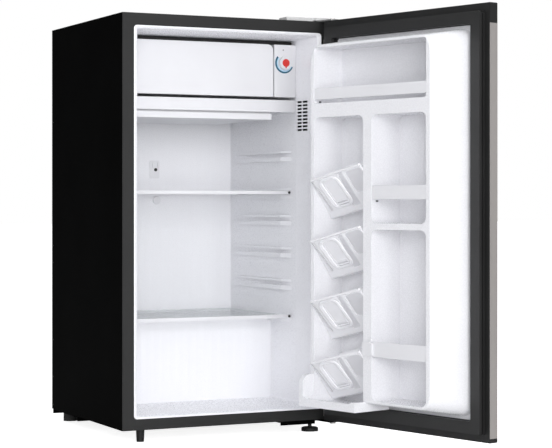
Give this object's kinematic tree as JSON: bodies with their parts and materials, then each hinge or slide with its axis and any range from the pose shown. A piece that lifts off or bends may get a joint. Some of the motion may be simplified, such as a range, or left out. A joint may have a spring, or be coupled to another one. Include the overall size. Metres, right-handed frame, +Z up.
{
  "type": "mini fridge",
  "caption": "Compact single-door refrigerator with its door open, freezer box, glass shelves, can racks and door bars.",
  "frame": {"origin": "on the floor, under the middle of the cabinet's front edge", "axes": "+Z up, +Y towards the cabinet's back, +X to the right seen from the front"},
  "size_m": [0.5649, 0.8858, 0.848],
  "materials": {
    "black_steel": "satin black paint",
    "frame_steel": "satin dark grey paint",
    "white_liner": "glossy vacuum-formed plastic",
    "liner_trim": "moulded plastic",
    "foam": "rigid foam",
    "galvanised": "galvanised sheet",
    "steel": "zinc plated",
    "dark_tube": "painted tube",
    "aluminium": "bare roll-bond sheet",
    "white_plastic": "moulded plastic",
    "dark_plastic": "moulded plastic",
    "red_plastic": "moulded plastic",
    "glass": "clear tempered glass",
    "black_enamel": "gloss enamel",
    "black_rubber": "moulded rubber",
    "copper": "bare copper",
    "grey_plastic": "moulded plastic",
    "door_steel": "brushed, coated",
    "frame_plastic": "moulded plastic",
    "gasket": "soft vinyl",
    "magnet": "magnetic strip",
    "rack_plastic": "translucent moulded plastic"
  },
  "bodies": {
    "cabinet": {"back_panel": "galvanised", "base_pan": "galvanised", "bottom_hinge_bracket": "black_steel", "cabinet_foam": "foam", "cabinet_liner": "white_liner", "compressor": "black_enamel", "compressor_mounts": "black_rubber", "compressor_rail": "black_steel", "compressor_studs": "steel", "condenser_tube": "dark_tube", "cord_gland": "black_rubber", "discharge_tube": "copper", "drain_pan": "dark_plastic", "evaporator": "aluminium", "evaporator_hangers": "white_plastic", "filter_drier": "copper", "freezer_hinge_clips": "white_plastic", "front_foot": "dark_plastic", "front_frame": "frame_steel", "grille_duct": "dark_plastic", "hinge_pins": "steel", "hinge_screws": "steel", "outer_shell": "black_steel", "rear_feet": "black_rubber", "sensor_clip": "white_plastic", "sensor_clip_screw": "steel", "terminal_cover": "dark_plastic", "thermostat_body": "galvanised", "thermostat_housing": "white_plastic", "top_hinge_cover": "grey_plastic", "top_hinge_plate": "galvanised", "wall_grille": "liner_trim", "wall_plug": "white_plastic"},
    "door": {"door_skin": "door_steel", "door_top_cap": "dark_plastic", "door_bottom_cap": "dark_plastic", "door_bushes": "white_plastic", "door_frame": "frame_plastic", "door_gasket": "gasket", "gasket_magnet": "magnet", "door_liner": "white_liner", "door_foam": "foam", "top_bar": "white_plastic", "middle_bar": "white_plastic", "bottom_bar": "white_plastic", "can_rack_1": "rack_plastic", "can_rack_2": "rack_plastic", "can_rack_3": "rack_plastic", "can_rack_4": "rack_plastic"},
    "freezer_flap": {"freezer_door": "white_plastic", "freezer_door_insert": "foam"},
    "dial": {"thermostat_shaft": "steel", "thermostat_knob": "white_plastic", "knob_cap": "red_plastic"},
    "tray": {"drip_tray": "white_plastic"},
    "upper_shelf": {"upper_shelf_glass": "glass", "upper_shelf_trims": "white_plastic"},
    "lower_shelf": {"lower_shelf_glass": "glass", "lower_shelf_trim": "white_plastic"},
    "level_foot": {"levelling_foot": "dark_plastic"}
  },
  "joints": [
    {"name": "door_hinge", "type": "hinge", "parent": "cabinet", "child": "door", "pos_m": [0.2176, -0.027, 0.432], "axis": [0, 0, 1], "range_deg": [-104.27, 20]},
    {"name": "freezer_hinge", "type": "hinge", "parent": "cabinet", "child": "freezer_flap", "pos_m": [-0.174, 0.088, 0.742], "axis": [0, 0, -1], "range_deg": [0, 88]},
    {"name": "dial_turn", "type": "hinge", "parent": "cabinet", "child": "dial", "pos_m": [0.1604, 0.079, 0.759], "axis": [0, -1, 0], "range_deg": [0, 270]},
    {"name": "tray_slide", "type": "slide", "parent": "cabinet", "child": "tray", "axis": [0, -1, 0], "range_m": [0, 0.12]},
    {"name": "upper_shelf_slide", "type": "slide", "parent": "cabinet", "child": "upper_shelf", "axis": [0, -1, 0], "range_m": [0, 0.14]},
    {"name": "lower_shelf_slide", "type": "slide", "parent": "cabinet", "child": "lower_shelf", "axis": [0, -1, 0], "range_m": [0, 0.14]},
    {"name": "level_foot_turn", "type": "hinge", "parent": "cabinet", "child": "level_foot", "pos_m": [0.19, 0.022, 0.01], "axis": [0, 0, 1], "range_deg": [-180, 180]}
  ]
}
